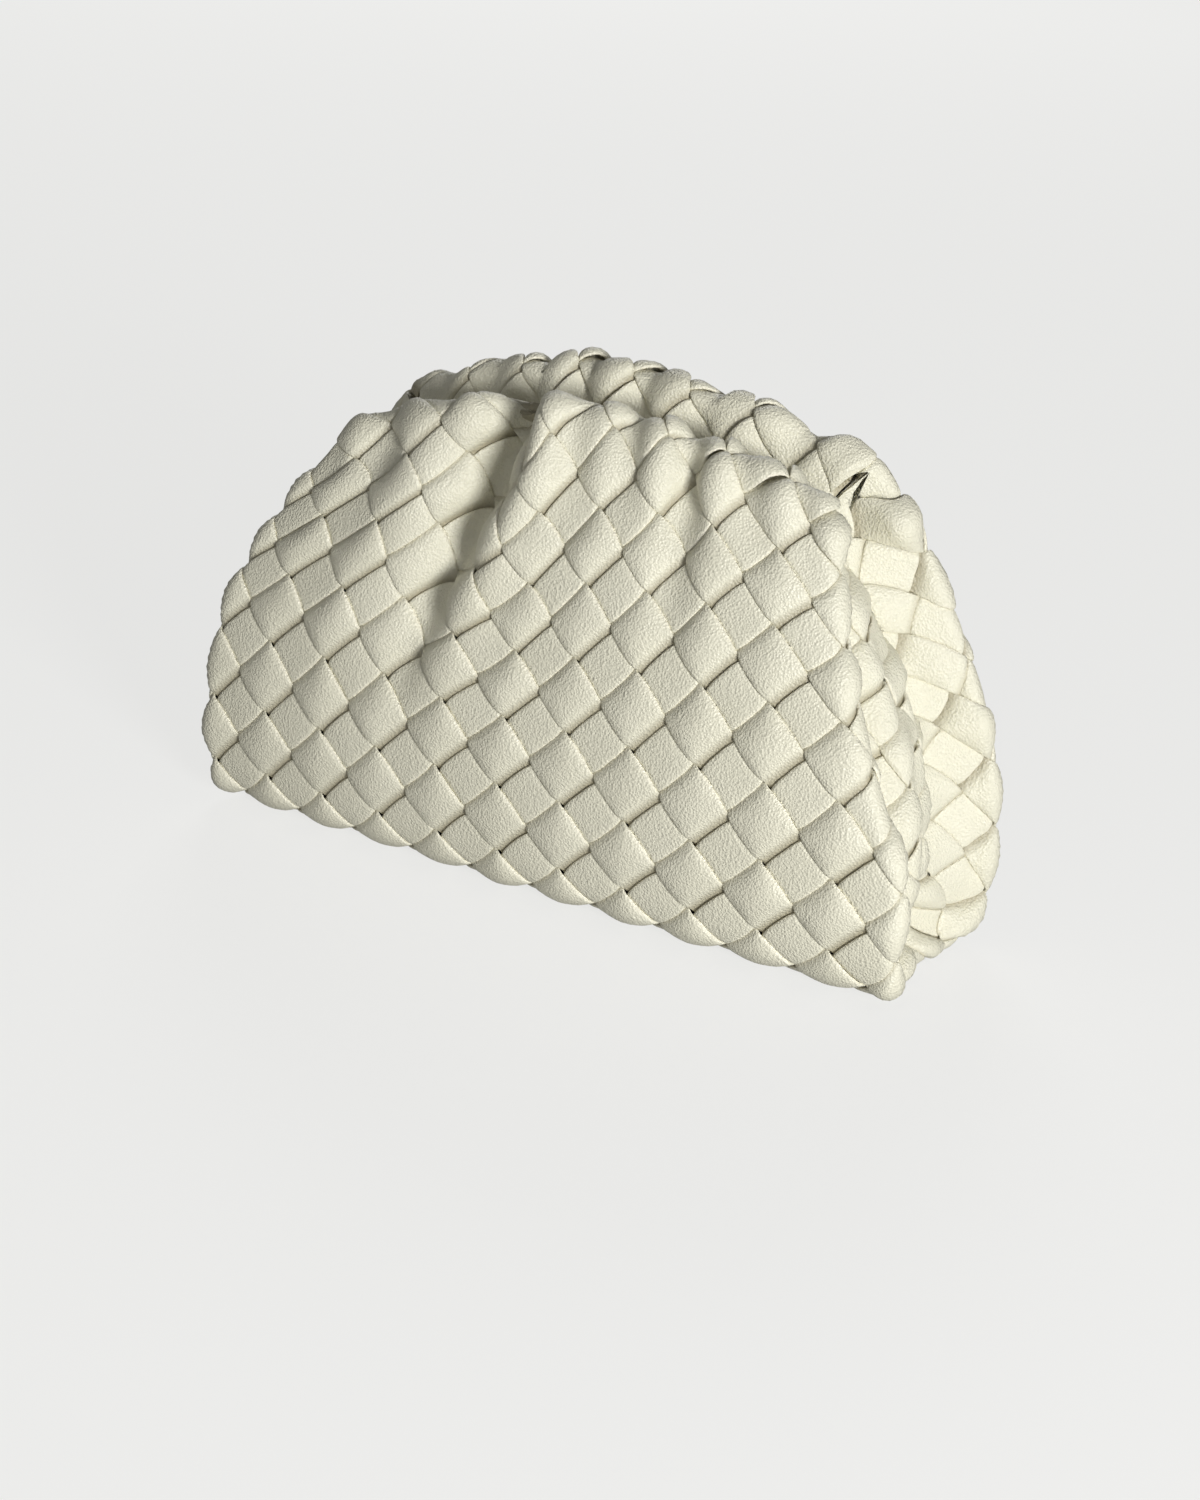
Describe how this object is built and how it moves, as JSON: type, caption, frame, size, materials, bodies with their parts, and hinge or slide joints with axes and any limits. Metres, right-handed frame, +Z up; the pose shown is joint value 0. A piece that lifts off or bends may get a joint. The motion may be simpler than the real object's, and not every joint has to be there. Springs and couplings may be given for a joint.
{
  "type": "woven leather pouch bag",
  "caption": "Small soft gathered pouch bag of broad woven leather strips, with tucked-in ends, a flat base and a closed ruffled mouth.",
  "frame": {"origin": "under the middle of the base, on the surface the bag rests on", "axes": "+X along the mouth, towards the end seen in the picture; -Y out of the front panel; +Z up"},
  "size_m": [0.222, 0.07, 0.1419],
  "materials": {
    "ivory_leather": "satin, fine pebble grain",
    "clasp_metal": "plain, hidden inside the mouth"
  },
  "bodies": {
    "root": {"front_lip": "ivory_leather", "front_panel": "ivory_leather", "base": "ivory_leather", "back_panel": "ivory_leather", "back_lip": "ivory_leather", "tucked_end_right": "ivory_leather", "tucked_end_left": "ivory_leather", "clasp_bar": "clasp_metal"}
  },
  "joints": []
}
